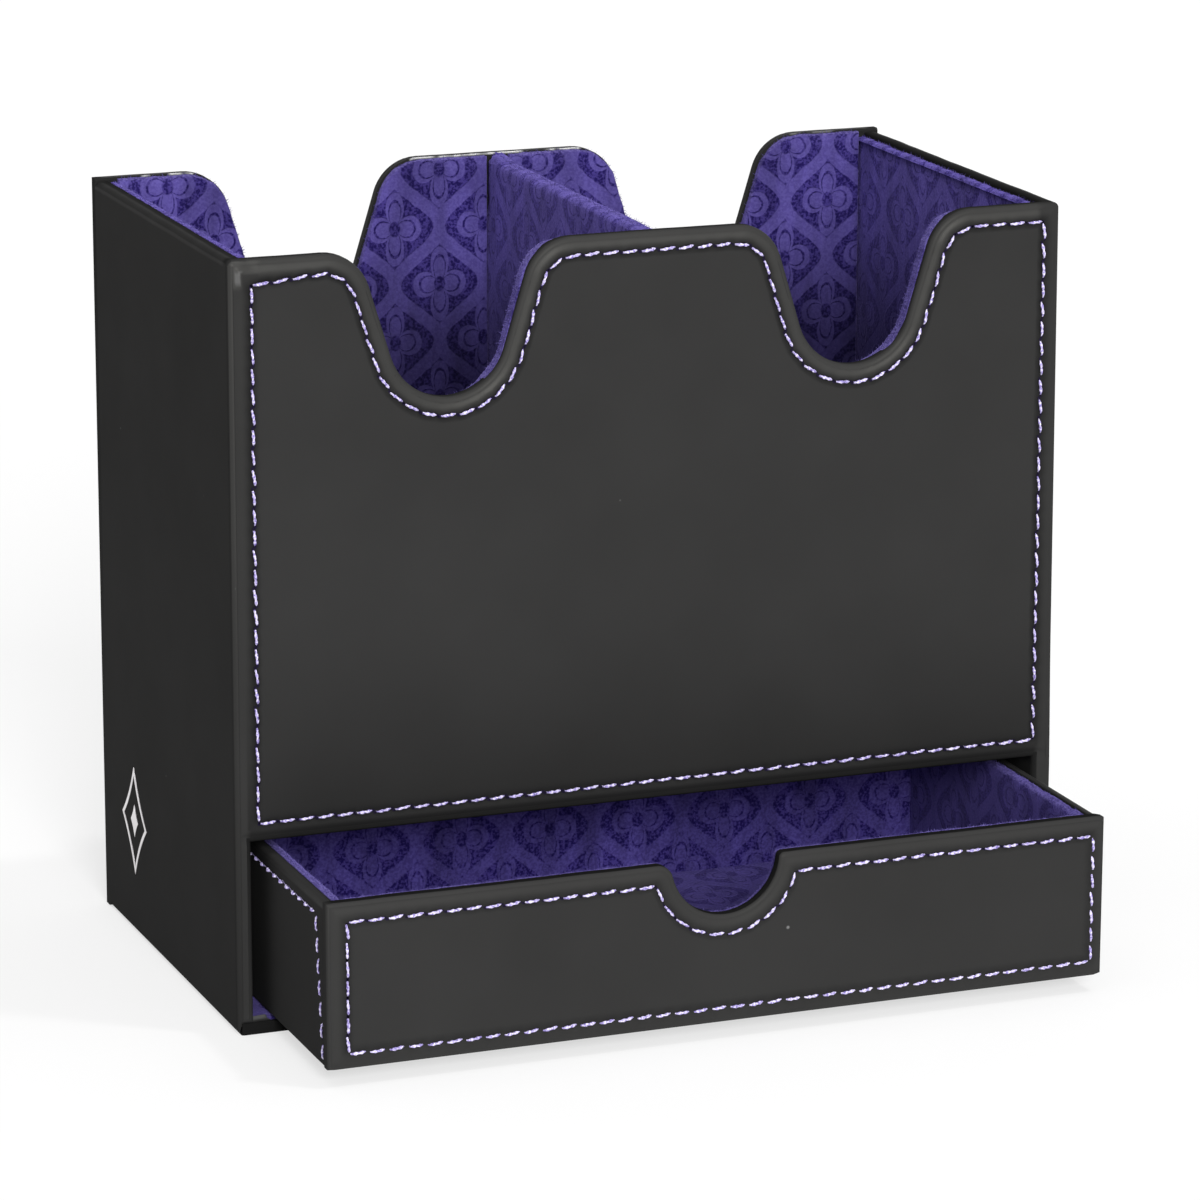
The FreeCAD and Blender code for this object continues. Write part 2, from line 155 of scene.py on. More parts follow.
def blended(tree, share, first, second):
    """A colour between two others, by a share from 0 to 1."""
    links = {"Factor": share, 6: first, 7: second}
    return add(tree, "ShaderNodeMix", links, data_type="RGBA").outputs[2]


def painted(tree, name):
    """The value that a piece's points carry under a name."""
    return add(tree, "ShaderNodeAttribute", attribute_name=name).outputs["Fac"]


leather_black = (0.0265, 0.0263, 0.026, 1)
leather_paler = (0.0295, 0.0293, 0.029, 1)
shade_black = (0.006, 0.006, 0.006, 1)
dust_grey = (0.17, 0.17, 0.17, 1)
glint_silver = (0.7, 0.7, 0.72, 1)
warm_gleam = (1.0, 0.985, 0.91, 1)
leatherette, tree, shader = new_finish("leatherette", Specular_Tint=warm_gleam)
place = add(tree, "ShaderNodeTexCoord").outputs["Object"]
cloudy = mottled(tree, {0.3: leather_black, 0.7: leather_paler}, scale=45, detail=3)[0]

# Only one speck of dust in about thirty shows.
speck = add(tree, "ShaderNodeTexVoronoi", {"Vector": place, "Scale": 160, "Randomness": 1.0})
dust = ranged(tree, speck.outputs["Distance"], 0.06, 0.03, 0, 0.9)
chosen = add(tree, "ShaderNodeSeparateColor", {"Color": speck.outputs["Color"]}).outputs["Red"]
few = worked_out(tree, "GREATER_THAN", chosen, 0.965)
dusty = blended(tree, worked_out(tree, "MULTIPLY", dust, few), cloudy, dust_grey)
# Where pressed is painted, the colour goes nearly black: painted shade.
shaded_leather = blended(tree, painted(tree, "pressed"), dusty, shade_black)

# Where the glint value is painted the sheet is smoother and glossier, in patches, and a
# painted glint turns its colour silvery.
patch = add(tree, "ShaderNodeTexNoise", {"Vector": place, "Scale": 210, "Detail": 2})
patchy = ranged(tree, patch.outputs["Fac"], 0.42, 0.5)
glint_and_gloss = worked_out(tree, "MULTIPLY", painted(tree, "glossy_glint"), patchy)
glinted = blended(tree, worked_out(tree, "MULTIPLY", glint_and_gloss, 0.7), shaded_leather, glint_silver)
tree.links.new(glinted, shader.inputs["Base Color"])
worn = add(tree, "ShaderNodeTexNoise", {"Vector": place, "Scale": 120, "Detail": 5, "Roughness": 0.65})
satin = ranged(tree, worn.outputs["Fac"], 0.3, 0.7, 0.46, 0.56)
smooth = add(tree, "ShaderNodeMix", {"Factor": glint_and_gloss, "A": satin, "B": 0.2})
tree.links.new(smooth.outputs[0], shader.inputs["Roughness"])
gleam = worked_out(tree, "MULTIPLY_ADD", painted(tree, "rolled"), 0.24, 0.0006)
mirror = worked_out(tree, "MULTIPLY_ADD", glint_and_gloss, 0.9, gleam)
tree.links.new(mirror, shader.inputs["Specular IOR Level"])
grain = add(tree, "ShaderNodeTexVoronoi", {"Vector": place, "Scale": 3200}, feature="SMOOTH_F1")
bumped(tree, shader, grain.outputs["Distance"], 0.12, 0.05)


# Outer wrap: one sheet of leatherette round the left side, the front and the right side.
# A row of stitches presses a groove into the front, and the edge swells beside it.
wall = 2.8
wall_top = 134.0
outside_x = 75.5
inside_x = outside_x - wall
front_y = -40.25
inside_y = front_y + wall
bay_roof = 34.2
under_notch = 107.0
edge_round = 1.0
edge_fall = 0.2
edge_fall_width = 1.4
swell = 0.2
swell_width = 3.6
gleam_width = 3.2
groove_depth = 0.34
groove_width = 0.75
fold_width = 2.4
fold_height = 4.1
lean = 0.85
weld = 0.001 * MM


def near(a, b, slack=0.01):
    return abs(a - b) < slack


def clipped(share):
    return min(1, max(0, share))


def height_of(face):
    return face.calc_center_median().z / MM


def new_layers(mesh):
    """Values on the points of leather and linings, 0 until painted; pressed is painted shade."""
    for name in ("pressed", "rolled", "glossy_glint", "rim"):
        mesh.verts.layers.float.new(name)


def in_order_of_place(mesh):
    """Sort a mesh's points, edges and faces, which some tools leave in no fixed order."""
    for i, vert in enumerate(sorted(mesh.verts, key=lambda v: tuple(v.co))):
        vert.index = i
    mesh.verts.sort()
    for parts in (mesh.edges, mesh.faces):
        places = sorted(parts, key=lambda part: sorted(v.index for v in part.verts))
        for i, part in enumerate(places):
            part.index = i
        parts.sort()


def merged_copy(node):
    """A CAD node's loose triangles, joined into whole flat faces."""
    mesh = bmesh.new()
    mesh.from_mesh(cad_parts[node].data)
    new_layers(mesh)
    bmesh.ops.remove_doubles(mesh, verts=mesh.verts, dist=weld)
    bmesh.ops.dissolve_limit(
        mesh, angle_limit=math.radians(0.3), verts=mesh.verts, edges=mesh.edges
    )
    in_order_of_place(mesh)
    return mesh


def spots(low, high, step):
    """Evenly spaced places from low to high, in millimetres."""
    count = max(1, round((high - low) / step))
    return [low + (high - low) * i / count for i in range(count + 1)]


def slice_across(mesh, axis, places, chosen=None):
    """Cut the chosen faces where they cross each place on an axis."""
    direction = Vector((0, 0, 0))
    direction[axis] = 1
    waiting = [f for f in mesh.faces if chosen is None or chosen(f)]
    slack = 0.002 * MM
    for at in sorted(places):
        crossing, above = [], []
        for face in waiting:
            reach = [v.co[axis] for v in face.verts]
            if max(reach) <= at * MM + slack:
                continue
            (crossing if min(reach) < at * MM - slack else above).append(face)
        if crossing:
            geometry = dict.fromkeys(crossing)
            for face in crossing:
                geometry.update(dict.fromkeys(face.verts))
                geometry.update(dict.fromkeys(face.edges))
            cut = bmesh.ops.bisect_plane(
                mesh,
                geom=list(geometry),
                plane_co=direction * (at * MM),
                plane_no=direction,
                dist=slack,
            )
            above += [g for g in cut["geom"] if isinstance(g, bmesh.types.BMFace)]
        waiting = above


def wave(point, length, seed):
    """A smooth random height from -1 to 1 with about that wavelength, in millimetres."""
    return noise.noise(point / (length * MM) + Vector((seed, seed * 1.7, seed * 0.3)))


def to_lines(points, starts, ends):
    """Each point's distance to the nearest of some straight lines."""
    run = ends - starts
    length = np.maximum((run ** 2).sum(1), 1e-12)
    offset = points[:, None, :] - starts[None]
    share = np.clip((offset * run[None]).sum(2) / length[None], 0, 1)
    return np.sqrt(((offset - share[..., None] * run[None]) ** 2).sum(2).min(1))


def as_mesh(mesh, name):
    """Mesh data made from a bmesh, which is used up."""
    data = bpy.data.meshes.new(name)
    mesh.to_mesh(data)
    mesh.free()
    return data


def finished(mesh, name, material, body, nodes, sharp=40):
    """Turn the modelled mesh into a piece that rides on its body and replaces CAD nodes.
    """
    data = as_mesh(mesh, name)
    for leftover in ("custom_normal", "sharp_face", "sharp_edge"):
        if leftover in data.attributes:
            data.attributes.remove(data.attributes[leftover])
    data.polygons.foreach_set("use_smooth", [True] * len(data.polygons))
    data.set_sharp_from_angle(angle=math.radians(sharp))
    piece = bpy.data.objects.new(name, data)
    bpy.context.scene.collection.objects.link(piece)
    wearing(piece, material)
    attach(piece, body)
    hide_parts(*nodes)
    return piece


def stitch_lines(node, across):
    """Start and end of every stitch of a CAD node, flattened along the axis across."""
    mesh = bmesh.new()
    mesh.from_mesh(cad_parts[node].data)
    bmesh.ops.remove_doubles(mesh, verts=mesh.verts, dist=weld)
    left = dict.fromkeys(mesh.verts)
    lines = []
    kept = [axis for axis in range(3) if axis != across]
    while left:
        island = [left.popitem()[0]]
        for vert in island:
            for edge in vert.link_edges:
                other = edge.other_vert(vert)
                if other in left:
                    del left[other]
                    island.append(other)
        flat = np.array([[v.co[axis] for axis in kept] for v in island])
        middle = (flat.min(0) + flat.max(0)) / 2
        along = np.linalg.svd(flat - middle, full_matrices=False)[2][0]
        if along[0] < 0 or (abs(along[0]) < 0.3 and along[1] < 0):
            along = -along
        reach = np.abs((flat - middle) @ along).max()
        lines.append((middle - along * reach, middle + along * reach))
    mesh.free()
    lines.sort(key=lambda pair: (round(pair[0][0] * 1e5), round(pair[0][1] * 1e5)))
    return np.array([p[0] for p in lines]), np.array([p[1] for p in lines])


def edge_of(face):
    """A face's outline as lines in its own plane, for a face that looks along Y."""
    starts = np.array([(v.co.x, v.co.z) for v in face.verts])
    return starts, np.roll(starts, -1, axis=0)


def front_face(mesh, plane_y):
    """The largest face that looks forwards on a plane, given in millimetres."""
    found = [f for f in mesh.faces if f.normal.y < -0.99 and near(f.verts[0].co.y / MM, plane_y)]
    return max(found, key=lambda f: f.calc_area())


def pad_front(mesh, plane_y, stitches, split_z=None, rounding=edge_round):
    """Loops round a stitched front, which then swell at the edge and sink at the stitches.

    Gives the points to move, how far each lies from the edge and from a stitch, in
    millimetres, and its share of the way back round the edge.
    """
    loop_count = 15
    loop_step = 0.3
    crowded = 0.2
    long_enough = 1.3
    fine_step = 0.85
    coarse_step = 4
    outline = edge_of(front_face(mesh, plane_y))
    if split_z is not None:
        slice_across(mesh, 2, [split_z], lambda f: f.normal.y < -0.99)
    front = front_face(mesh, plane_y)

    def join_crowded():
        """Merge the front's corners where they have come too close to go on inwards."""
        short = [e for e in front.edges if e.calc_length() < crowded * MM]
        if short:
            corners = list(dict.fromkeys(v for e in short for v in e.verts))
            bmesh.ops.remove_doubles(mesh, verts=corners, dist=crowded * MM)

    for loop in range(loop_count):
        join_crowded()
        front = front_face(mesh, plane_y)
        bmesh.ops.inset_individual(
            mesh, faces=[front], thickness=loop_step * MM, use_even_offset=True
        )

    def in_front(face):
        return face.normal.y < -0.9 and near(face.calc_center_median().y / MM, plane_y)

    def long_ring(axis):
        def chosen(face):
            if face is front or not in_front(face):
                return False
            reach = [v.co[axis] for v in face.verts]
            return max(reach) - min(reach) > long_enough * MM

        return chosen

    flat = np.array([v.co for v in mesh.verts if near(v.co.y / MM, plane_y)]) / MM
    (left, _, low), (right, _, high) = flat.min(0), flat.max(0)
    slice_across(mesh, 0, spots(left, right, fine_step), long_ring(0))
    slice_across(mesh, 2, spots(low, high, fine_step), long_ring(2))
    slice_across(mesh, 0, spots(left, right, coarse_step)[1:-1], in_front)
    slice_across(mesh, 2, spots(low, high, coarse_step)[1:-1], in_front)
    moved = [v for v in mesh.verts if v.co.y / MM - plane_y < rounding + 0.02]
    flat = np.array([[v.co.x, v.co.z] for v in moved])
    on_face = np.array([near(v.co.y / MM, plane_y, 0.005) for v in moved])
    inset = np.where(on_face, to_lines(flat, *outline) / MM + rounding, 0)
    to_stitch = to_lines(flat, *stitches) / MM
    back = np.array([(v.co.y / MM - plane_y) / rounding for v in moved])
    return moved, inset, to_stitch, np.clip(back, 0, 1)


def paint(mesh, name, amount):
    """Write a value from 0 to 1 on every point, for the leatherette to show."""
    layer = mesh.verts.layers.float[name]
    for vert in mesh.verts:
        value = amount(vert.co / MM)
        if value is not None:
            vert[layer] = value


def press(mesh, parts, rounding, relief=1.0, extra=None):
    """Move a front's points out by the swell and in by the groove, and paint shade along the groove."""
    shade_layer = mesh.verts.layers.float["pressed"]
    sheen = mesh.verts.layers.float["rolled"]
    for vert, inset, to_stitch, back in zip(*parts):
        out = -edge_fall * (1 - back)
        if inset > rounding:
            share = min(1, (inset - rounding) / edge_fall_width)
            out *= 1 - share * share * (3 - 2 * share)
        if rounding < inset < swell_width:
            share = (inset - rounding) / (swell_width - rounding)
            out += swell * relief * math.sin(math.pi * share ** 0.75) ** 1.4
        if back < 0.01:
            out -= groove_depth * relief * math.exp(-((to_stitch / groove_width) ** 2))
            reach = 1.15 if inset < 4.2 else 0.7
            vert[shade_layer] = 0.6 * relief * math.exp(-((to_stitch / reach) ** 2))
            swollen = 0 if inset > gleam_width else math.sin(math.pi * inset / gleam_width)
            vert[sheen] = 0.85 * relief * relief * swollen
        else:
            vert[sheen] = relief * 0.5 * (1 - back)
        if extra:
            out += extra(vert.co) * (1 - back)
        vert.co.y -= out * MM


def folded_corner(point):
    """The thicker patch where the sheet is folded in at the top left corner, in millimetres."""
    x = point.x / MM + outside_x
    z = wall_top - point.z / MM
    across = math.exp(-(((x - 1.2) / 1.5) ** 6))
    down = math.exp(-(((z - 3.0) / 3.2) ** 6))
    crumpled = math.exp(-(((x - 5.0) / 4.0) ** 2) - (z / 2.6) ** 2)
    return 0.2 * across * down + 0.22 * crumpled * wave(point, 2.2, 41.0)


def front_shape(point):
    """What stands out from or falls back behind the flat front besides its padded rim."""
    above_bay = point.z / MM - bay_roof
    down = max(0, 1 - above_bay / 6) if above_bay > -0.1 else 0
    return folded_corner(point) - 0.2 * down * down


def round_edges(mesh, chosen, size, segments=3):
    """Round the edges that turn by over 50 degrees and whose two ends are chosen."""
    edges = []
    for edge in mesh.edges:
        if len(edge.link_faces) == 2 and edge.calc_face_angle(0) > math.radians(50):
            a, b = (v.co / MM for v in edge.verts)
            if chosen(a, b):
                edges.append(edge)
    bmesh.ops.bevel(
        mesh,
        geom=edges,
        offset=size * MM,
        offset_type="OFFSET",
        segments=segments,
        profile=0.5,
        affect="EDGES",
        clamp_overlap=True,
        material=-1,
    )
    in_order_of_place(mesh)


def waver(mesh, chosen, height, length, seed):
    """Push the chosen points up, down, forwards and back a little, in smooth waves."""
    for vert in mesh.verts:
        if chosen(vert.co / MM):
            up = wave(vert.co, length, seed)
            along = wave(vert.co, length, seed + 20)
            vert.co += Vector((0, along, up)) * (height * MM)


front_stitches = stitch_lines("front_stitching", 1)
wrap = merged_copy("outer_wrap")


def wrap_rim(a, b):
    """Inner edges of the front wall's top, and both top edges of the side walls."""
    if near(a.y, inside_y) and near(b.y, inside_y) and abs(a.x) < inside_x + 0.01:
        if min(a.z, b.z) > under_notch:
            return True
    along_side = near(a.x, b.x) and (near(abs(a.x), inside_x) or near(abs(a.x), outside_x))
    return along_side and near(a.z, wall_top) and near(b.z, wall_top)


def on_rim(face):
    """Over the tops of the front and side walls, and round the notches."""
    centre = face.calc_center_median() / MM
    on_top = centre.z > wall_top - 2.2 or near(centre.y, front_y + 1.9, 1.9)
    return on_top and centre.z > under_notch - 1 and abs(face.normal.y) < 0.98


def on_side_wall(face):
    return abs(face.normal.x) > 0.98


round_edges(wrap, wrap_rim, 0.5)
side_heights = spots(3, wall_top - 2, 6) + [wall_top - 1.4, wall_top - 0.8]
slice_across(wrap, 2, side_heights, on_side_wall)
slice_across(wrap, 1, [-38.6] + spots(-36, 36, 6), on_side_wall)
slice_across(wrap, 0, spots(-outside_x, outside_x, 1.5), on_rim)
slice_across(wrap, 1, spots(-39.5, 37, 1.5), on_rim)
parts = pad_front(wrap, front_y, front_stitches, split_z=bay_roof + edge_round + 0.2)
press(wrap, parts, edge_round, 1.0, front_shape)


def rim_shade(p):
    """How much shade is painted over the turned-over top of a wall, most towards the inside."""
    if p.z <= under_notch - 1 or p.y <= front_y + 0.75:
        return None
    behind_front = p.y > inside_y + 0.01
    if p.z < wall_top - 0.7 and (behind_front or abs(p.x) > outside_x - 0.05):
        return None
    if behind_front:
        return 0.75 - 0.25 * clipped((abs(p.x) - 73.2) / 0.8)
    return 0.05 + 0.75 * clipped((p.y - front_y - 1.0) / 1.5)


def side_gleam(p):
    """A faint gleam along the outer top edges of the side walls."""
    return 0.03 if p.y > inside_y and p.z > wall_top - 1.1 and abs(p.x) > outside_x - 1.1 else None


paint(wrap, "pressed", rim_shade)
paint(wrap, "rolled", side_gleam)


def skirt(mesh):
    """Bring a wall's outer skin down over the edge of the base, where the sheet is glued."""
    for vert in mesh.verts:
        x, y, z = vert.co / MM
        if z < 3.3:
            outside = max(abs(x) - 74.7, y - 39.45) / 0.3
            share = clipped(outside) * clipped(y - front_y)
            vert.co.z -= 1.9 * share * MM


skirt(wrap)


def over_bay(p):
    """How far a point of the front lies down towards the bay, from 0 to 1."""
    if p.y > inside_y or abs(p.x) > 73.6 or p.z < bay_roof - 0.1:
        return 0
    return max(0, 1 - (p.z - bay_roof) / 34)


# Painted shade darkens the front towards the bay, most of all at its edge there. At the top
# left corner the folded patch is glossier, with a painted glint on it and painted shade along
# its creases; a thin line of painted shade runs down the front's left edge, and the right
# wall's lower end leans out a little.
shade_layer = wrap.verts.layers.float["pressed"]
sheen = wrap.verts.layers.float["rolled"]
patch_glint = wrap.verts.layers.float["glossy_glint"]
for vert in wrap.verts:
    share = over_bay(vert.co / MM)
    edge = max(0, share * 8.5 - 7.5)
    vert[shade_layer] = max(vert[shade_layer], 0.42 * share ** 1.5, 0.8 * edge)
    vert[sheen] *= 1 - min(1, 3 * share)
for vert in wrap.verts:
    x, y, z = vert.co / MM
    from_left = x + outside_x
    from_top = wall_top - z
    if y < front_y + 0.5 and from_left < 5.2 and from_top < 4.5:
        seam = abs(from_left - fold_width)
        if from_left < fold_width:
            seam = min(seam, abs(from_top - fold_height))
        if from_left < fold_width or from_top < fold_width:
            vert[sheen] = 0.8 + 0.4 * wave(vert.co, 1.5, 43.0)
            vert[shade_layer] = 0.6 * math.exp(-((seam / 0.22) ** 2))
        else:
            vert[sheen] = 0.1
        on_patch = 1.05 < from_left < fold_width and 1.05 < from_top < fold_height
        vert[patch_glint] = 0.09 if on_patch and seam > 0.3 else 0
    elif y < inside_y and abs(x) > 71.9:
        vert[sheen] *= 0.12
        if x < -74.6 and y < front_y + 1.2:
            vert[shade_layer] = 0.3
    if x > 73.5:
        low_down = clipped((88 - z) / 54)
        vert.co.x += lean * low_down * min(1, (x - 73.5) / 1.5) * MM
waver(wrap, lambda p: p.z > 100, 0.09, 11, 1.0)
waver(wrap, lambda p: p.z > 100, 0.04, 3.5, 4.0)
finished(
    wrap, "leather_wrap", leatherette, "housing", ["outer_wrap"],
)


# Back cover: the back panel's own sheet, turned in on every edge. It stands a little
# higher than the side walls; its top and inner rim carry painted shade, and along its inner
# edge it is glossy where it was pressed over, with a painted glint.
back_y = 40.25
inner_back = back_y - wall
back_top = 134.6
back = merged_copy("back_cover")


def back_rim(at_y):
    """The long edges of the back panel's top, on one of its two faces."""
    return lambda a, b: (
        near(a.y, at_y)
        and near(b.y, at_y)
        and min(a.z, b.z) > under_notch
        and not (near(a.x, b.x) and abs(a.x) > 72)
    )


def on_back_rim(face):
    return height_of(face) > under_notch - 1 and abs(face.normal.y) < 0.98


# Painted shade over the back panel's top and the inner side of its rim.
def back_shade(p):
    return 0.45 if p.z > under_notch and p.y < back_y - 0.02 else None


def back_gleam(p):
    return 0.1 if p.z > under_notch and p.y > inner_back + 0.4 and abs(p.x) < 74 else None


def back_glint(p):
    """Glossy, with a painted glint, along the top of the inner edge, and less so at the right."""
    if p.z > back_top - 0.2 and p.y < inner_back + 0.4 and abs(p.x) < 66:
        return 0.2 if p.x > 30 else 0.9
    return None


round_edges(back, back_rim(inner_back), 0.35, 1)
round_edges(back, back_rim(back_y), 0.45)
slice_across(back, 1, [inner_back + 0.5], on_back_rim)
slice_across(back, 0, spots(-outside_x, outside_x, 1.2), on_back_rim)
paint(back, "pressed", back_shade)
paint(back, "rolled", back_gleam)
skirt(back)
paint(back, "glossy_glint", back_glint)
waver(back, lambda p: p.z > 100, 0.05, 8, 2.0)
waver(back, lambda p: p.z > 100, 0.014, 2.4, 5.0)
finished(
    back, "leather_back", leatherette, "housing", ["back_cover"],
)


# Base cover: the sheet round the base board, under the walls. The box stands on it, and
# in front its cut edge stands up under the drawer as a thin lip, torn at the left.
lip_length = 148.8
lip_thickness = 0.25
base = merged_copy("base_cover")
for vert in base.verts:
    vert.co.x = min(74.75, max(-74.75, vert.co.x / MM)) * MM
    vert.co.y = min(39.5 * MM, vert.co.y)
round_edges(base, lambda a, b: near(a.z, b.z) and a.z > 1 and near(a.y, b.y), 0.3)
slice_across(base, 1, [-38.2, -37.4])
slice_across(base, 0, spots(-75, 75, 1), lambda f: f.calc_center_median().y / MM < -38)
waver(base, lambda p: p.z > 1.2 and p.y < -37, 0.13, 2.6, 31.0)
lip = bmesh.new()
new_layers(lip)
bmesh.ops.create_grid(lip, x_segments=150, y_segments=4, size=1)
for vert in lip.verts:
    x = lip_length / 2 * vert.co.x
    up = (vert.co.y + 1) / 2
    torn = clipped((-69.4 - x) / 0.8)
    tall = 0.15 + 0.95 * torn + 0.25 * noise.noise(Vector((x / 2.1, 3.0, 0.0)))
    curl = 0.5 + 0.5 * noise.noise(Vector((x / 2.3, 9.0, 0.0)))
    y = -39.75 + 0.9 * up - 0.55 * curl * math.sin(math.pi * up)
    vert.co = Vector((x, y, 2.0 + max(0.05, tall) * up)) * MM
bmesh.ops.solidify(lip, geom=lip.faces, thickness=lip_thickness * MM)
base.from_mesh(as_mesh(lip, "base_lip"))
# Painted shade blackens the base's front under the drawer, and a painted glint lightens the top of the
# lip's torn end.
paint(base, "pressed", lambda p: 0.85 if p.y < -38.9 and p.z < 2.35 else None)
paint(base, "glossy_glint", lambda p: 0.1 if p.z > 2.6 and p.x < -69 else None)
finished(
    base, "leather_base", leatherette, "housing", ["base_cover"],
)


# Stitches: lavender polyester thread, two plies twisted together. Each stitch comes up
# through one needle hole and goes down through the next, and presses into the sheet.
thread_shadow = (0.15, 0.11, 0.36, 1)
thread_middle = (0.4, 0.34, 0.66, 1)
thread_pale = (0.72, 0.67, 0.87, 1)
thread, tree, shader = new_finish("thread", Roughness=0.4, Specular_IOR_Level=0.5)
thread_colours = {0.34: thread_shadow, 0.47: thread_middle, 0.6: thread_pale}
colour, fibre = mottled(tree, thread_colours, scale=2600, detail=3)
tree.links.new(colour, shader.inputs["Base Color"])
bumped(tree, shader, fibre, 0.5, 0.05)
# Needle holes: dark plugs in the groove, painted shade inside each hole.
hole_shade_dark = (0.004, 0.003, 0.008, 1)
hole_shade_pale = (0.012, 0.008, 0.03, 1)
hole_shade, tree, shader = new_finish("needle_hole_shade", Roughness=0.9, Specular_IOR_Level=0.1)
colour = mottled(tree, {0: hole_shade_dark, 1: hole_shade_pale}, scale=3000)[0]
tree.links.new(colour, shader.inputs["Base Color"])


def one_stitch():
    """A short twisted thread along +X that dips at both ends. Up is +Z."""
    half_length = 1.42
    radius = 0.33
    flatness = 0.58
    dip = 0.38
    arch_height = 0.46
    twist = math.radians(470)
    sections = 9
    mesh = bmesh.new()
    made = bmesh.ops.create_circle(mesh, cap_ends=True, segments=6, radius=radius * MM)
    ring = made["verts"]
    bmesh.ops.rotate(mesh, verts=ring, cent=(0, 0, 0), matrix=Matrix.Rotation(math.pi / 2, 3, "Y"))
    basis = [v.co.copy() for v in ring]
    for i in range(sections):
        if i:
            border = [e for e in mesh.edges if all(v in ring for v in e.verts)]
            made = bmesh.ops.extrude_edge_only(mesh, edges=border)
            fresh = [g for g in made["geom"] if isinstance(g, bmesh.types.BMVert)]
            ring = [min(fresh, key=lambda v: (v.co - old.co).length) for old in ring]
        share = i / (sections - 1)
        arch = math.sin(math.pi * share) ** 0.4 if 0 < share < 1 else 0
        width = 0.6 + 0.4 * arch
        x = -half_length + 2 * half_length * share
        for vert, start in zip(ring, basis):
            section = Vector((0, start.y, start.z * flatness))
            section.rotate(Matrix.Rotation(twist * share, 3, "X"))
            vert.co = Vector((x, 0, -dip + arch_height * arch)) * MM + section * width
    bmesh.ops.contextual_create(mesh, geom=[e for e in mesh.edges if all(v in ring for v in e.verts)])
    bmesh.ops.recalc_face_normals(mesh, faces=mesh.faces)
    return as_mesh(mesh, "one_stitch")


def one_hole():
    """A dark plug that paints the shade in a needle hole, long along X, with its mouth at the top."""
    depth = 0.3
    mesh = bmesh.new()
    bmesh.ops.create_cone(
        mesh, cap_ends=True, segments=8, radius1=0.12 * MM, radius2=0.24 * MM, depth=depth * MM
    )
    bmesh.ops.scale(mesh, verts=mesh.verts, vec=(1.5, 1, 1))
    bmesh.ops.translate(mesh, verts=mesh.verts, vec=(0, 0, -depth * MM))
    return as_mesh(mesh, "one_hole")


stitch_shape = one_stitch()
hole_shape = one_hole()
hole_from_middle = 1.52


def placed(mesh, shape, matrix):
    """Add a copy of a shape to a mesh, moved by a matrix."""
    count = len(mesh.verts)
    mesh.from_mesh(shape)
    mesh.verts.ensure_lookup_table()
    bmesh.ops.transform(mesh, matrix=matrix, verts=mesh.verts[count:])


def sewn(node, lines, across, plane, outward, body, seed, fine=False):
    """Twisted stitches and needle holes where a CAD node has its plain ones.

    A fine row is the back of a seam: short thin stitches, with the upper thread between them.
    """
    chance = random.Random(seed)
    threads = bmesh.new()
    holes = bmesh.new()
    kept = [axis for axis in range(3) if axis != across]
    out = Vector((0, 0, 0))
    out[across] = outward
    for starts, ends in zip(*lines):
        a = Vector((0, 0, 0))
        b = Vector((0, 0, 0))
        a[across] = b[across] = plane * MM
        for axis, start, end in zip(kept, starts, ends):
            a[axis] = start
            b[axis] = end
        along = (b - a).normalized()
        side = out.cross(along)
        middle = (a + b) / 2 + side * chance.uniform(-0.05, 0.05) * MM
        askew = math.radians(chance.uniform(-4, 4))
        facing = Matrix((along, side, out)).transposed() @ Matrix.Rotation(askew, 3, "Z")
        place = Matrix.Translation(middle) @ facing.to_4x4()
        upright = abs(along.z) > 0.5
        if fine:
            long, thick = (0.97, 0.74) if upright else (0.36, 1.0)
        else:
            long, thick = (1.0, 0.9) if upright else (1.0, 0.96)
        long *= chance.uniform(0.94, 1.05)
        spread = Matrix.Diagonal(
            (long, thick * chance.uniform(0.92, 1.1), thick * chance.uniform(0.92, 1.06), 1)
        )
        placed(threads, stitch_shape, place @ spread)
        for end_x in (-hole_from_middle, hole_from_middle):
            placed(holes, hole_shape, place @ Matrix.Translation((end_x * MM, 0, 0)))
        if fine and not upright:
            next_to = Matrix.Translation((1.7 * MM, 0, -0.02 * MM))
            thinned = Matrix.Diagonal((0.75, 0.15, 0.2, 1))
            placed(threads, stitch_shape, place @ (next_to @ thinned))
    finished(threads, node + "_thread", thread, body, [node], sharp=180)
    finished(holes, node + "_holes", hole_shade, body, [node])


sewn("front_stitching", front_stitches, 1, front_y, -1, "housing", 3)


# Foil mark: thin silver foil pressed into the left side, bright and a little uneven.
# It is the CAD's own solid, a diamond outline with a small core.
foil_dark = (0.5, 0.47, 0.47, 1)
foil_bright = (0.86, 0.84, 0.86, 1)
foil, tree, shader = new_finish("silver_foil", Metallic=1.0)
colour, uneven = mottled(tree, {0: foil_dark, 1: foil_bright}, scale=260, detail=3)
tree.links.new(colour, shader.inputs["Base Color"])
tree.links.new(ranged(tree, uneven, 0, 1, 0.2, 0.45), shader.inputs["Roughness"])
wearing(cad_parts["foil_mark"], foil)


# Linings: polyester flock on a soft backing, glued to the inside of every wall and
# floor. A trellis of leaf shapes is pressed into the pile and shows paler and smoother.
flock_pile = ((0.011, 0.006, 0.075, 1), (0.05, 0.035, 0.19, 1))
flock_pressed = ((0.075, 0.056, 0.24, 1), (0.095, 0.074, 0.285, 1))
flock_lit_rim = ((0.055, 0.042, 0.17, 1), (0.13, 0.108, 0.3, 1))
flock_sheen = (0.42, 0.34, 1.0, 1)
trellis_width = 17.0
trellis_height = 21.0
shade_fade = 32


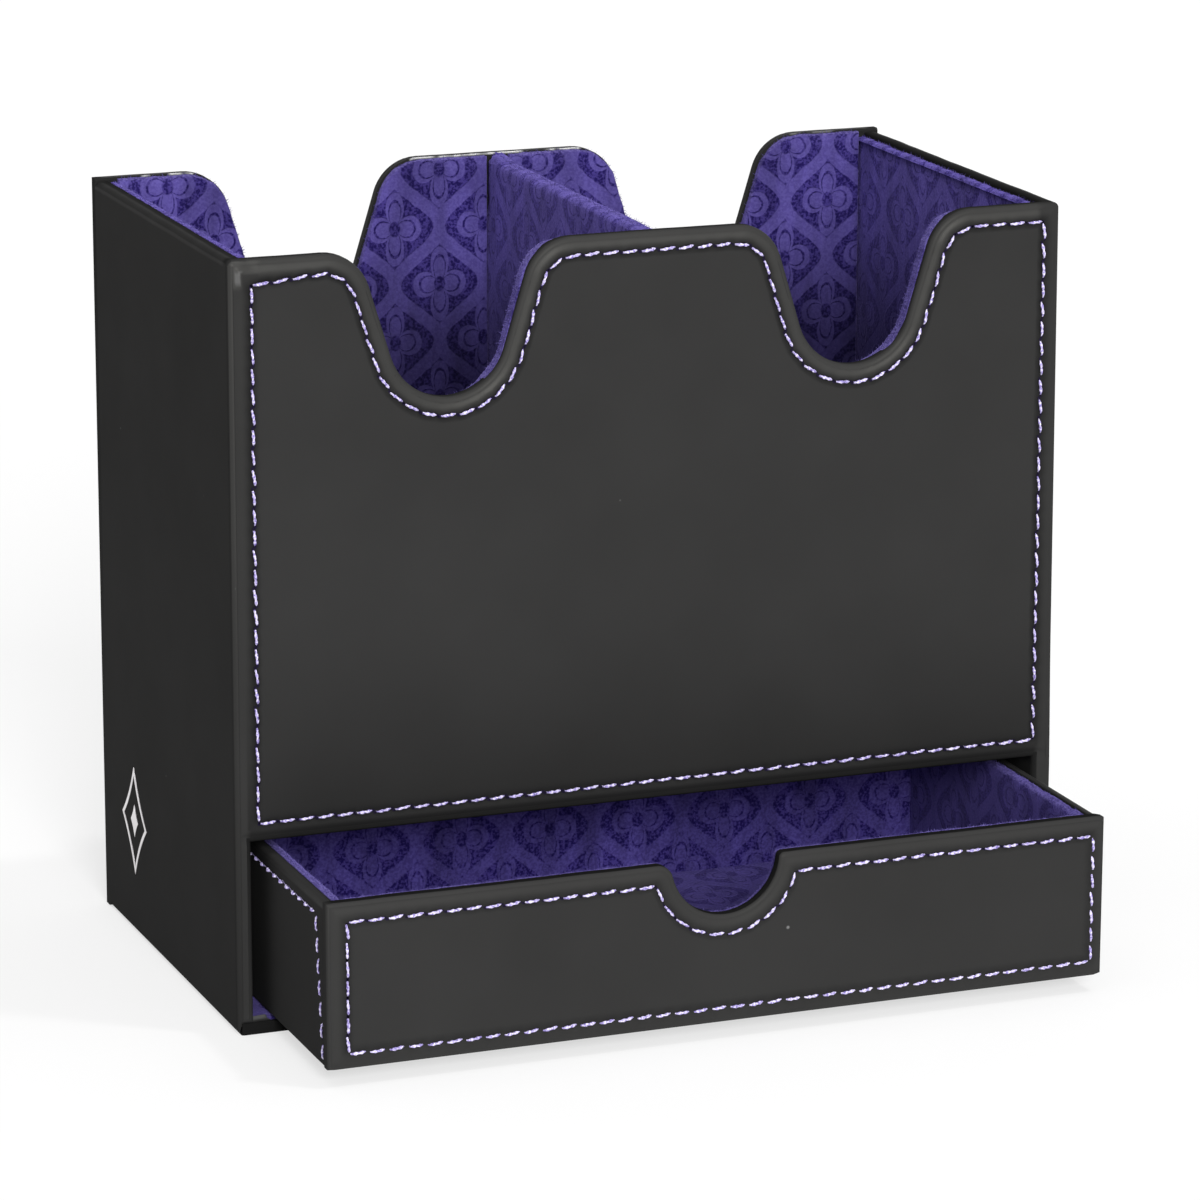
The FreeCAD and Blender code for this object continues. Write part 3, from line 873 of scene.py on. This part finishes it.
def flocked(name, u_axis, v_axis, shift, contrast=1.0, tone_and_light=1.0, shade_below=None):
    """Purple flock with the pressed trellis running along two of the axes.

    Below a height in millimetres it darkens to a third, fading back over 32 mm: painted shade.
    """
    material, tree, shader = new_finish(
        name,
        Roughness=0.95,
        Specular_IOR_Level=0.1,
        Sheen_Weight=0.3,
        Sheen_Roughness=0.4,
        Sheen_Tint=flock_sheen,
    )

    def math_node(operation, *values):
        return worked_out(tree, operation, *values)

    def soft_step(value, low, high):
        return ranged(tree, value, low, high, interpolation_type="SMOOTHSTEP")

    place = add(tree, "ShaderNodeTexCoord").outputs["Object"]
    split = add(tree, "ShaderNodeSeparateXYZ", {"Vector": place})
    drift = add(tree, "ShaderNodeTexNoise", {"Vector": place, "Scale": 500, "Detail": 2})
    ragged = math_node("MULTIPLY_ADD", drift.outputs["Fac"], 0.5, -0.25)
    u = math_node("MULTIPLY_ADD", split.outputs[u_axis], 1000.0, shift[0])
    v = math_node("MULTIPLY_ADD", split.outputs[v_axis], 1000.0, shift[1])
    width = trellis_width
    height = trellis_height
    folded = math_node("PINGPONG", u, width / 2)
    phase = math_node("MULTIPLY", v, math.tau / height)
    curve = math_node("MULTIPLY_ADD", math_node("COSINE", phase), width / 4, width / 4)
    slope = math_node("MULTIPLY", math_node("SINE", phase), width / 4 * math.tau / height)
    steep = math_node("SQRT", math_node("MULTIPLY_ADD", slope, slope, 1.0))
    gap = math_node("DIVIDE", math_node("ABSOLUTE", math_node("SUBTRACT", folded, curve)), steep)
    gap = math_node("ADD", gap, ragged)
    band = soft_step(gap, 1.35, 1.05)
    shapes = [band]
    for offset in (0.0, 0.5):
        du = math_node("WRAP", math_node("ADD", u, width * offset), width / 2, -width / 2)
        dv = math_node("WRAP", math_node("ADD", v, height * offset), height / 2, -height / 2)
        tall = math_node("MULTIPLY", dv, 0.74)
        reach = math_node("SQRT", math_node("MULTIPLY_ADD", du, du, math_node("MULTIPLY", tall, tall)))
        angle = math_node("ARCTAN2", tall, du)
        petals = math_node("ABSOLUTE", math_node("COSINE", math_node("MULTIPLY", angle, 2.0)))
        rim = math_node("MULTIPLY_ADD", petals, 3.1, 2.0)
        within = math_node("SUBTRACT", math_node("ADD", reach, ragged), rim)
        petal = soft_step(within, 0.1, -0.2)
        core = soft_step(reach, 0.9, 1.2)
        vein = soft_step(math_node("ABSOLUTE", math_node("ADD", within, 1.3)), 0.1, 0.3)
        shapes.append(math_node("MULTIPLY", math_node("MULTIPLY", petal, core), vein))
    pressed = math_node("MAXIMUM", shapes[0], math_node("MAXIMUM", shapes[1], shapes[2]))
    pile = add(tree, "ShaderNodeTexNoise", {"Vector": place, "Scale": 2300, "Detail": 2})
    speckle = soft_step(pile.outputs["Fac"], 0.38, 0.62)
    pressed = math_node("MULTIPLY", pressed, contrast)
    dark = blended(tree, speckle, *flock_pile)
    light = blended(tree, speckle, *flock_pressed)
    patterned = blended(tree, pressed, dark, light)
    stroke = add(tree, "ShaderNodeMapping", {"Vector": place, "Scale": (260, 260, 60)})
    brushed = add(tree, "ShaderNodeTexNoise", {"Vector": stroke.outputs[0], "Scale": 1, "Detail": 3})
    shade = ranged(tree, brushed.outputs["Fac"], 0.3, 0.7, 0.74 * tone_and_light, 1.26 * tone_and_light)
    # Painted shade: below that height the colour drops to a third, deep in the compartments.
    if shade_below:
        out_of_shade = soft_step(split.outputs["Z"], shade_below * MM, (shade_below + shade_fade) * MM)
        shade = math_node("MULTIPLY", shade, math_node("MULTIPLY_ADD", out_of_shade, 0.68, 0.32))
    shaded = add(
        tree, "ShaderNodeVectorMath", {0: patterned, "Scale": shade}, operation="SCALE"
    ).outputs[0]
    # Where rim is painted, a painted highlight turns the upper edges paler and greyer.
    lit_rim_colour = blended(tree, speckle, *flock_lit_rim)
    colour = blended(tree, painted(tree, "rim"), shaded, lit_rim_colour)
    tree.links.new(colour, shader.inputs["Base Color"])
    raised = math_node("MULTIPLY_ADD", pressed, -0.6, pile.outputs["Fac"])
    bumped(tree, shader, raised, 0.7, 0.18)
    return material


# Some copies stand in for light and shade: flock_along is made brighter, painted light on the linings that
# face sideways, and flock_bay darker, painted shade in the bay under the drawer.
flock_across = flocked("flock_across", "X", "Z", (3.0, 4.0), tone_and_light=0.85, shade_below=94)
flock_along = flocked("flock_along", "Y", "Z", (0.0, 4.0), contrast=0.75, tone_and_light=1.3, shade_below=94)
flock_drawer_side = flocked("flock_drawer_side", "Y", "Z", (0.0, 4.0), contrast=0.75, tone_and_light=0.95)
flock_floor = flocked("flock_floor", "X", "Y", (3.0, 2.0), contrast=0.7, tone_and_light=0.9)
flock_bay = flocked("flock_bay", "X", "Y", (3.0, 2.0), tone_and_light=0.55)
flock_drawer = flocked("flock_drawer", "X", "Z", (3.0, 4.0), contrast=0.6, tone_and_light=0.88)


def grow_rim(mesh, facing, amount):
    """Move a lining's free upper edges outwards in its own plane, and curl them over.

    amount gives both moves from the edge's direction and height, in millimetres.
    """
    pushes = {}
    for face in mesh.faces:
        if face.normal.z > 0.1:
            for vert in face.verts:
                pushes.setdefault(vert, []).append(face.normal.copy())
    middle = sum((v.co.dot(facing) for v in pushes), 0.0) / len(pushes)
    for vert, normals in pushes.items():
        mean = sum(normals, Vector()).normalized()
        out, over = amount(mean, vert.co.z / MM)
        glued_side = vert.co.dot(facing) < middle
        vert.co += mean * (out * MM / mean.dot(normals[0]))
        if glued_side:
            vert.co -= facing * (over * MM)


def level_with(out):
    """The same move outwards all along an edge, with no curl."""
    return lambda normal, height: (out, 0.0)


def into_notch(normal, height):
    """The front linings stand out past the leather inside a notch, but not along the top.

    Their edge curls over the leather, most of all high on a notch's right flank.
    """
    flank = min(1, 1.4 * abs(normal.x))
    low_down = clipped((130 - height) / 5)
    out = 0.15 + 0.25 * low_down
    if normal.x > 0:
        return out + 0.3 * flank, 0.3 * low_down
    high_up = clipped((height - 120) / 6)
    return out + (0.8 + 0.35 * high_up) * flank, 0.4 * low_down + 1.1 * flank * flank


def fluff(mesh, chosen, per_mm2, seed):
    """Short loose fibres that stand out of the pile where a lining was cut."""
    chance = random.Random(seed)
    fibres = bmesh.new()
    new_layers(fibres)
    mesh.verts.index_update()
    for face in mesh.faces:
        if not chosen(face):
            continue
        corners = [v.co for v in sorted(face.verts, key=lambda v: v.index)]
        wanted = face.calc_area() / (MM * MM) * per_mm2
        for i in range(int(wanted + chance.random())):
            shares = [chance.random() + 0.01 for corner in corners]
            root = sum((c * w for c, w in zip(corners, shares)), Vector()) / sum(shares)
            lean = Vector([chance.uniform(-0.8, 0.8) for axis in range(3)])
            towards = (face.normal + lean).normalized()
            length = chance.uniform(0.25, 0.75) * MM
            turned = Vector((0, 0, 1)).rotation_difference(towards).to_matrix().to_4x4()
            bmesh.ops.create_cone(
                fibres,
                cap_ends=True,
                segments=3,
                radius1=0.06 * MM,
                radius2=0.015 * MM,
                depth=length,
                matrix=Matrix.Translation(root + towards * (length * 0.4)) @ turned,
            )
    # Each fibre carries the lining's painted highlight.
    layer = fibres.verts.layers.float["rim"]
    for vert in fibres.verts:
        vert[layer] = 0.7
    mesh.from_mesh(as_mesh(fibres, "fibres"))


def soft_lining(
    node, material, facing, body, seed, grow=level_with(0), thicken=0.0, rounding=0.4, painted_rim_light=1.0
):
    """A lining with soft ragged edges and an uneven pile on the side that it shows."""
    mesh = merged_copy(node)
    low, high = (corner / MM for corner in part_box(node))
    normal = Vector(facing)
    axis = next(i for i in range(3) if abs(facing[i]) > 0.5)
    face_at = high[axis] if facing[axis] > 0 else low[axis]
    across = [i for i in range(3) if i != axis]
    end = across[0]
    upright = axis != 2

    def free_edge(a, b):
        return near(a[axis], face_at) and near(b[axis], face_at) and max(a.z, b.z) > low.z + 1

    def rim_face(face):
        return abs(face.normal[axis]) < 0.98 and face.normal.z > 0.02

    def free_rim(face):
        return rim_face(face) and face.calc_center_median().z > (low.z + 1) * MM

    if upright:
        grow_rim(mesh, normal, grow)
        if thicken:
            for vert in mesh.verts:
                if near(vert.co[axis] / MM, face_at, 0.05):
                    vert.co += normal * (thicken * MM)
            face_at += thicken * facing[axis]
        round_edges(mesh, free_edge, rounding, 4)
        for i in across:
            slice_across(mesh, i, spots(low[i] - 1, high[i] + 1, 0.7), rim_face)
    for i in across:
        slice_across(mesh, i, spots(low[i], high[i], 2)[1:-1], lambda f: f.normal.dot(normal) > 0.98)
    in_order_of_place(mesh)

    # The ends part a little from the linings beside them, the pile is uneven, and the
    # upper edges are ragged, with a painted highlight where they face upwards.
    layer = mesh.verts.layers.float["rim"]
    mesh.normal_update()
    shifts = []
    for vert in mesh.verts:
        shift = Vector()
        if upright:
            top = max(0, (vert.co.z / MM - high.z + 10) / 10)
            slit = end == 0 and -3 < vert.co.x / MM < 0
            gap = 0.05 + (0.3 * min(1, 2 * top) if slit else 0)
            for at, inwards in ((low[end], 1), (high[end], -1)):
                if near(vert.co[end] / MM, at, 0.05):
                    shift[end] += inwards * gap
        if abs(vert.co[axis] / MM - face_at) < 0.9:
            uneven = 0.1 * wave(vert.co, 9, seed + 3) + 0.05 * wave(vert.co, 2.5, seed + 7)
            shift += normal * (uneven - 0.06)
        if upright and any(rim_face(f) for f in vert.link_faces):
            vert[layer] = painted_rim_light * clipped(vert.normal.z * 1.6)
            ragged = 0.16 * wave(vert.co, 1.1, seed + 9) + 0.14 * wave(vert.co, 3.5, seed + 11)
            shift += vert.normal * ((ragged - 0.1) * min(1, 2.5 * max(0, vert.normal.z)))
        shifts.append((vert, shift * MM))
    for vert, shift in shifts:
        vert.co += shift
    if upright:
        mesh.normal_update()
        fluff(mesh, free_rim, 2.5, seed)
    return finished(
        mesh, node + "_flock", material, body, [node], sharp=75,
    )


for side, outward, seed, side_rise in (("left", 1, 1.0, 0.9), ("right", -1, 2.0, 0.3)):
    deck = side + "_deck_"
    soft_lining(deck + "front_lining", flock_across, (0, 1, 0), "housing", seed, into_notch)
    soft_lining(
        deck + "back_lining", flock_across, (0, -1, 0), "housing", seed + 0.3, level_with(0.8), painted_rim_light=0.7
    )
    soft_lining(
        deck + "side_lining", flock_along, (outward, 0, 0), "housing", seed + 0.6,
        level_with(side_rise), painted_rim_light=0.0,
    )
    soft_lining(deck + "floor_lining", flock_floor, (0, 0, 1), "housing", seed + 0.9)


# Divider lining: one piece of flock, glued up one face of the divider, over its top and
# down the other face. Its top is round and soft, and stands a little over the board.
top_rise = 0.9
top_round = 1.7
divider = merged_copy("divider_lining")
low, high = (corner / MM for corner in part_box("divider_lining"))
for vert in divider.verts:
    if vert.co.z / MM > high.z - 1.6:
        vert.co.z += top_rise * MM
high.z += top_rise
split_z = high.z - 3.4


def divider_top(a, b):
    return near(a.z, high.z) and near(b.z, high.z) and near(a.x, b.x)


def divider_face(face):
    return abs(face.normal.x) > 0.9


round_edges(divider, divider_top, top_round, 4)
slice_across(divider, 2, spots(high.z - 6, high.z - 2, 0.8), divider_face)
slice_across(divider, 1, spots(low.y, high.y, 0.8)[1:-1], lambda f: height_of(f) > split_z)
slice_across(divider, 1, spots(low.y, high.y, 2.4)[1:-1], lambda f: height_of(f) < split_z)
slice_across(divider, 2, spots(low.z, high.z - 6, 3)[1:], divider_face)
slice_across(divider, 1, [36.35, 36.6], lambda f: divider_face(f) and height_of(f) > high.z - 12)
in_order_of_place(divider)

# Behind, its upper left edge is tucked in, clear of the back lining's end.
for vert in divider.verts:
    x, y, z = vert.co / MM
    if x < -0.9 and y > 36.5 and z > high.z - 10:
        vert.co.x += 0.75 * min(1, (z - high.z + 10) / 3) * MM
# A painted highlight lightens its top, and its faces are made a little uneven.
layer = divider.verts.layers.float["rim"]
divider.normal_update()
shifts = []
for vert in divider.verts:
    x, y, z = vert.co / MM
    top_share = clipped((z - high.z + 1.6) / 1.4)
    if abs(x) > 1.2 or z > high.z - 1:
        vert[layer] = 0.15 * top_share
        rise = 0.16 * wave(vert.co, 9, 3.0) + 0.06 * wave(vert.co, 2.4, 8.0) - 0.06
        rise += top_share * (0.06 * wave(vert.co, 6, 13.0) + 0.03 * wave(vert.co, 1.6, 15.0) - 0.2)
        shift = vert.normal * (rise * MM)
        shift.z += 0.8 * top_share * clipped((y - 30) / 6) * MM
        shifts.append((vert, shift))
for vert, shift in shifts:
    vert.co += shift
divider.normal_update()
fluff(divider, lambda f: height_of(f) > high.z - 1.2 and f.normal.z > 0.2, 2.0, 21)
finished(
    divider, "divider_flock", flock_along, "housing", ["divider_lining"], sharp=75,
)


# Drawer bay: a strip of flock glued to the base, for the drawer to run on, and thin
# black paper glued over the raw edges of the boards inside the bay.
# The bay's flock is the darker copy: painted shade under the drawer.
soft_lining("bay_floor_lining", flock_bay, (0, 0, 1), "housing", 5.0)
paper_black = (0.01, 0.01, 0.01, 1)
paper_grey = (0.022, 0.022, 0.022, 1)
facing_black, tree, shader = new_finish("facing_paper", Roughness=0.8, Specular_IOR_Level=0.2)
colour = mottled(tree, {0: paper_black, 1: paper_grey}, scale=1200, detail=4)[0]
tree.links.new(colour, shader.inputs["Base Color"])
for node_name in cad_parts:
    if node_name.endswith("_facing"):
        wearing(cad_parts[node_name], facing_black)


# Drawer front: a board in its own sheet, stitched all round and round the pull notch.
# Its right corners are blunter than its left ones.
drawer_x = 1.2
drawer_y = -70.85
drawer_thickness = 2.4
drawer_round = 0.8
drawer_relief = 0.6
drawer_stitches = stitch_lines("drawer_front_stitching", 1)
fascia = merged_copy("drawer_front_cover")


def fascia_back(a, b):
    """The upper edges of the drawer front's inner side, and the notch's edge there."""
    inner_y = drawer_y + drawer_thickness
    return near(a.y, inner_y) and near(b.y, inner_y) and max(a.z, b.z) > 20


# Painted shade over the top and upper inner face of the drawer front, between its sides.
def fascia_shade(p):
    on_top = p.z > 20 and p.y > drawer_y + 0.7
    return 0.75 if on_top and abs(p.x - drawer_x) < 70.5 else None


round_edges(fascia, fascia_back, 0.4)
slice_across(fascia, 0, spots(drawer_x - 71, drawer_x + 71, 1.5), lambda f: abs(f.normal.y) < 0.98)
parts = pad_front(fascia, drawer_y, drawer_stitches, rounding=drawer_round)
press(fascia, parts, drawer_round, drawer_relief)
paint(fascia, "pressed", fascia_shade)


def blunt(mesh, left, right):
    """Round a plate's four square corners: each square ring about one becomes a round ring."""
    low = [min(v.co[i] for v in mesh.verts) / MM for i in range(3)]
    high = [max(v.co[i] for v in mesh.verts) / MM for i in range(3)]
    for vert in mesh.verts:
        for x, sign_x, radius in ((low[0], -1, left), (high[0], 1, right)):
            for z, sign_z in ((low[2], -1), (high[2], 1)):
                across = (vert.co.x / MM - x) * sign_x + radius
                up = (vert.co.z / MM - z) * sign_z + radius
                if across > 0 and up > 0:
                    shrink = 1 - max(across, up) / math.hypot(across, up)
                    vert.co.x -= sign_x * across * shrink * MM
                    vert.co.z -= sign_z * up * shrink * MM


blunt(fascia, 0.45, 1.1)
waver(fascia, lambda p: p.z > 18, 0.06, 7, 6.0)
finished(
    fascia, "drawer_leather_front", leatherette, "drawer", ["drawer_front_cover"],
)
sewn("drawer_front_stitching", drawer_stitches, 1, drawer_y, -1, "drawer", 5)


# Drawer sides and back: one sheet round three walls, with a row of stitches under the
# top edge of each side and a slanting one behind the drawer's front.
seam_depth = 0.2
seam_width = 0.6
sides = merged_copy("drawer_wrap")
low, high = (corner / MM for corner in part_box("drawer_wrap"))


def sides_inner_top(a, b):
    """Inner top edges: those nearer the drawer's middle than its outer faces."""
    reach = max(abs(a.x - drawer_x), abs(b.x - drawer_x))
    return near(a.z, high.z) and near(b.z, high.z) and reach < 69


round_edges(sides, sides_inner_top, 0.4)
for outward, node, seed in ((-1, "drawer_left_stitching", 7), (1, "drawer_right_stitching", 9)):
    plane = low.x if outward < 0 else high.x
    rows = stitch_lines(node, 0)

    def on_side(face):
        return divider_face(face) and near(face.calc_center_median().x / MM, plane, 0.02)

    slice_across(sides, 2, spots(low.z + 1, high.z - 0.8, 0.55), on_side)
    slice_across(sides, 1, spots(low.y + 0.5, high.y - 1, 0.8), on_side)
    touched = [v for v in sides.verts if near(v.co.x / MM, plane, 0.02)]
    flat = np.array([[v.co.y, v.co.z] for v in touched])
    for vert, gap in zip(touched, to_lines(flat, *rows) / MM):
        vert.co.x -= outward * seam_depth * math.exp(-((gap / seam_width) ** 2)) * MM
    sewn(node, rows, 0, plane, outward, "drawer", seed, fine=True)


# Painted shade along the inner top of the drawer's walls.
def sides_shade(p):
    return 0.6 if p.z > high.z - 0.3 and abs(p.x - drawer_x) < 69 else None


def sides_gleam(p):
    return 0.12 if p.z > high.z - 1.2 and abs(p.x - drawer_x) > 69.2 else None


slice_across(sides, 2, [high.z - 0.5], lambda f: abs(f.normal.z) < 0.5)
paint(sides, "pressed", sides_shade)
paint(sides, "rolled", sides_gleam)
waver(sides, lambda p: p.z > 18, 0.06, 7, 16.0)
finished(
    sides, "drawer_leather_sides", leatherette, "drawer", ["drawer_wrap"],
)


# Drawer underside and linings: a plain sheet glued under the base board, and flock on
# the inside of the drawer's walls and floor, a little thicker along its upper edges.
under = merged_copy("drawer_base_cover")
finished(
    under, "drawer_leather_base", leatherette, "drawer", ["drawer_base_cover"],
)
for side, finish, facing, seed, rise, thicken, painted_rim_light in (
    ("front", flock_drawer, (0, 1, 0), 11.0, 0.7, 0.5, 0.6),
    ("back", flock_drawer, (0, -1, 0), 12.0, 0.2, 0.5, 0.6),
    ("left", flock_drawer_side, (1, 0, 0), 13.0, 0.3, 0.7, 0.8),
    ("right", flock_drawer_side, (-1, 0, 0), 14.0, 0.2, 0.5, 0.6),
):
    soft_lining(
        "drawer_" + side + "_lining", finish, facing, "drawer", seed, level_with(rise), thicken, 0.6, painted_rim_light
    )
soft_lining("drawer_floor_lining", flock_floor, (0, 0, 1), "drawer", 15.0)


# Studio: a plain white floor and soft lamps. The main one stands in front of the box, a
# little to the left and above it, and a small one above at the right makes sharp glints.
floor_grey = (0.965, 0.965, 0.965, 1)
floor_pale = (0.975, 0.975, 0.975, 1)
floor_size = 6
floor_own_light = 0.63
sky_light = 0.3
floor_white, tree, shader = new_finish("floor_white", Roughness=0.9, Specular_IOR_Level=0.0)
colour = mottled(tree, {0: floor_grey, 1: floor_pale}, scale=3)[0]
tree.links.new(colour, shader.inputs["Base Color"])


def seen_directly(tree):
    """1 for a ray from the camera, or one that a mirror or glass sends on."""
    path = add(tree, "ShaderNodeLightPath")
    share = path.outputs["Is Camera Ray"]
    for other in ("Is Glossy Ray", "Is Transmission Ray"):
        share = worked_out(tree, "MAXIMUM", share, path.outputs[other])
    return share


white_share = worked_out(tree, "MULTIPLY", seen_directly(tree), floor_own_light)
white = add(tree, "ShaderNodeEmission", {"Color": (1, 1, 1, 1), "Strength": 1.0})
backdrop = add(
    tree, "ShaderNodeMixShader", {0: white_share, 1: shader.outputs[0], 2: white.outputs[0]}
)
tree.links.new(backdrop.outputs[0], tree.nodes["Material Output"].inputs["Surface"])
floor_mesh = bmesh.new()
bmesh.ops.create_grid(floor_mesh, x_segments=1, y_segments=1, size=floor_size)
floor = bpy.data.objects.new("floor", as_mesh(floor_mesh, "floor"))
bpy.context.scene.collection.objects.link(floor)
wearing(floor, floor_white)

for name, strength, soft_angle, towards in (
    ("key", 3.1, 24, (-0.13, -0.9, 0.42)),
    ("top", 0.75, 80, (0.0, -0.15, 0.99)),
    ("spark", 0.5, 4, (0.348, -0.259, 0.901)),
):
    lamp = bpy.data.lights.new(name, "SUN")
    lamp.energy = strength
    lamp.angle = math.radians(soft_angle)
    sun = bpy.data.objects.new(name, lamp)
    sun.rotation_mode = "QUATERNION"
    sun.rotation_quaternion = Vector(towards).to_track_quat("Z", "Y")
    bpy.context.scene.collection.objects.link(sun)

world = bpy.data.worlds.new("studio")
world.use_nodes = True
tree = world.node_tree
sky = tree.nodes["Background"]
level = ranged(tree, seen_directly(tree), 0, 1, sky_light, 1.0)
tree.links.new(level, sky.inputs["Strength"])
sky.inputs["Color"].default_value = (1, 1, 1, 1)
bpy.context.scene.world = world
bpy.context.scene.view_settings.view_transform = "Standard"
